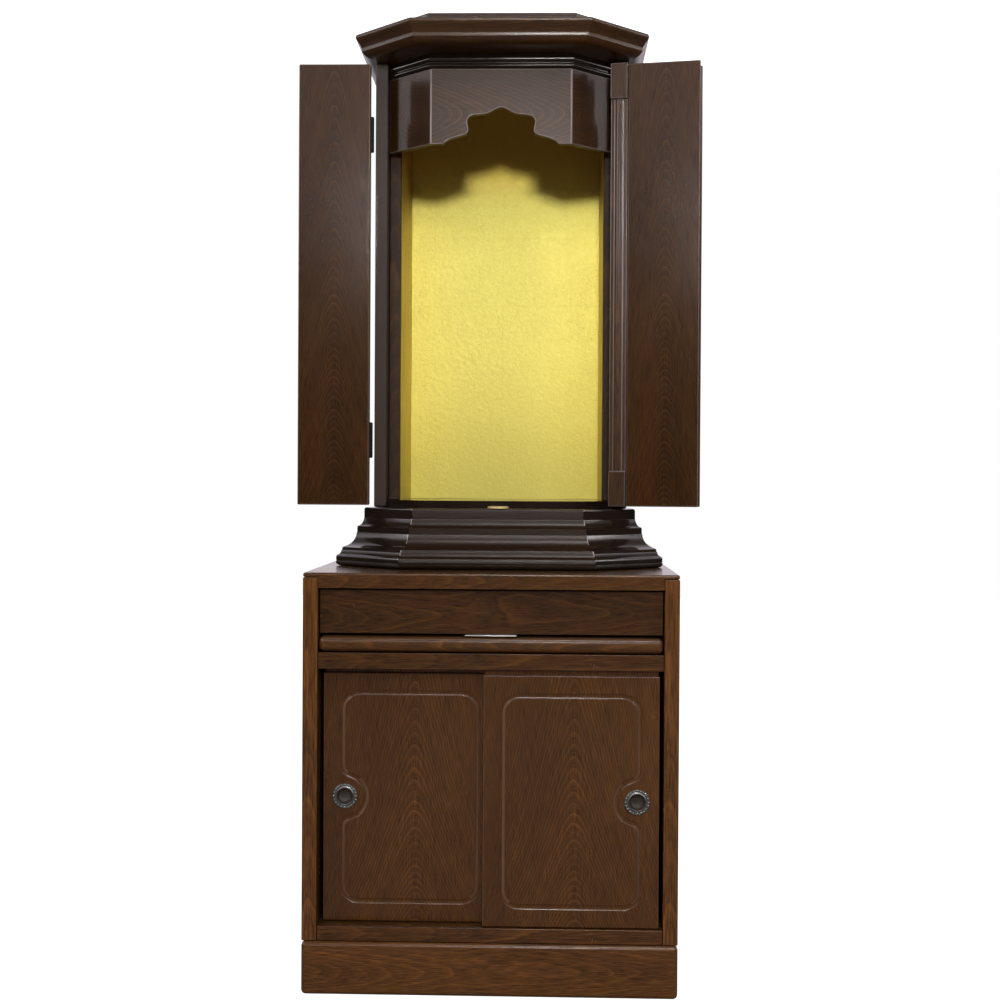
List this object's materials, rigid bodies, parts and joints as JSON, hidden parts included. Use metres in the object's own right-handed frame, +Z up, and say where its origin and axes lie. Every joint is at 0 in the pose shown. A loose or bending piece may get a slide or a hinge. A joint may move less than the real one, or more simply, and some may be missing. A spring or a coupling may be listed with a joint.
{
  "type": "household altar cabinet",
  "caption": "Bay-fronted household altar cabinet with folding doors, standing on a lower cabinet with a drawer, a slide-out tray and sliding doors.",
  "frame": {"origin": "on the floor, in the middle of the stand", "axes": "+Z up; the front, with the open folding doors, looks along -Y; +X is to the right as seen from the front"},
  "size_m": [0.5782, 0.475, 1.3496],
  "materials": {
    "wenge_case": "dark brown wood with a reddish grain under semi-gloss lacquer",
    "wenge_doors": "dark brown wood with an upright cathedral grain under semi-gloss lacquer",
    "black_lacquer": "near-black gloss lacquer on wood",
    "gold_leaf": "gold leaf laid in squares on a thin board",
    "plain_wood": "plain pale wood",
    "black_iron": "black hinge iron",
    "pewter": "dull grey plating on brass",
    "brass": "dull brass"
  },
  "bodies": {
    "cabinet": {"altar_back": "black_lacquer", "altar_ceiling": "black_lacquer", "altar_cornice": "wenge_case", "altar_floor": "black_lacquer", "altar_jamb_left": "wenge_case", "altar_jamb_right": "wenge_case", "altar_plinth": "black_lacquer", "altar_side_left": "black_lacquer", "altar_side_right": "black_lacquer", "altar_top": "wenge_case", "base_back": "wenge_case", "base_front": "wenge_case", "base_side_left": "wenge_case", "base_side_right": "wenge_case", "cabinet_floor": "wenge_case", "divider_shelf": "wenge_case", "door_stop": "brass", "drawer_runner_left": "plain_wood", "drawer_runner_right": "plain_wood", "gold_back": "gold_leaf", "gold_side_left": "gold_leaf", "gold_side_right": "gold_leaf", "stand_back": "wenge_case", "stand_side_left": "wenge_case", "stand_side_right": "wenge_case", "stand_top": "wenge_case", "valance": "wenge_case", "valance_beads": "black_lacquer"},
    "left_side_door": {"side_leaf_left": "wenge_doors", "post_hinge_barrel_left_high": "black_iron", "post_hinge_barrel_left_low": "black_iron"},
    "left_front_door": {"front_leaf_left": "wenge_doors", "fold_hinge_barrel_left_high": "black_iron", "fold_hinge_barrel_left_low": "black_iron"},
    "right_side_door": {"side_leaf_right": "wenge_doors", "post_hinge_barrel_right_high": "black_iron", "post_hinge_barrel_right_low": "black_iron"},
    "right_front_door": {"front_leaf_right": "wenge_doors", "astragal": "wenge_doors", "fold_hinge_barrel_right_high": "black_iron", "fold_hinge_barrel_right_low": "black_iron"},
    "left_sliding_door": {"sliding_door_left": "wenge_doors", "door_pull_left": "pewter"},
    "right_sliding_door": {"sliding_door_right": "wenge_doors", "door_pull_right": "pewter"},
    "drawer": {"drawer_front": "wenge_doors", "drawer_side_left": "plain_wood", "drawer_side_right": "plain_wood", "drawer_back": "plain_wood", "drawer_bottom": "plain_wood", "drawer_pull": "pewter"},
    "tray": {"slide_tray": "wenge_case"}
  },
  "joints": [
    {"name": "left_door_swing", "type": "hinge", "parent": "cabinet", "child": "left_side_door", "pos_m": [-0.1835, -0.03, 0.95], "axis": [0, 0, 1], "range_deg": [0, 135]},
    {"name": "left_door_fold", "type": "hinge", "parent": "left_side_door", "child": "left_front_door", "pos_m": [-0.2792, -0.0465, 0.95], "axis": [0, 0, 1], "range_deg": [-135, 0]},
    {"name": "right_door_swing", "type": "hinge", "parent": "cabinet", "child": "right_side_door", "pos_m": [0.1935, -0.03, 0.95], "axis": [0, 0, -1], "range_deg": [0, 124]},
    {"name": "right_door_fold", "type": "hinge", "parent": "right_side_door", "child": "right_front_door", "pos_m": [0.28429, -0.06446, 0.95], "axis": [0, 0, -1], "range_deg": [-135, 0]},
    {"name": "left_sliding_door_slide", "type": "slide", "parent": "cabinet", "child": "left_sliding_door", "axis": [1, 0, 0], "range_m": [0, 0.2]},
    {"name": "right_sliding_door_slide", "type": "slide", "parent": "cabinet", "child": "right_sliding_door", "axis": [1, 0, 0], "range_m": [-0.2, 0]},
    {"name": "drawer_slide", "type": "slide", "parent": "cabinet", "child": "drawer", "axis": [0, -1, 0], "range_m": [0, 0.25]},
    {"name": "tray_slide", "type": "slide", "parent": "cabinet", "child": "tray", "axis": [0, -1, 0], "range_m": [0, 0.22]}
  ],
  "couplings": [
    {"joint": "left_door_fold", "follows": "left_door_swing", "ratio": -1},
    {"joint": "right_door_fold", "follows": "right_door_swing", "ratio": -1.0887}
  ]
}
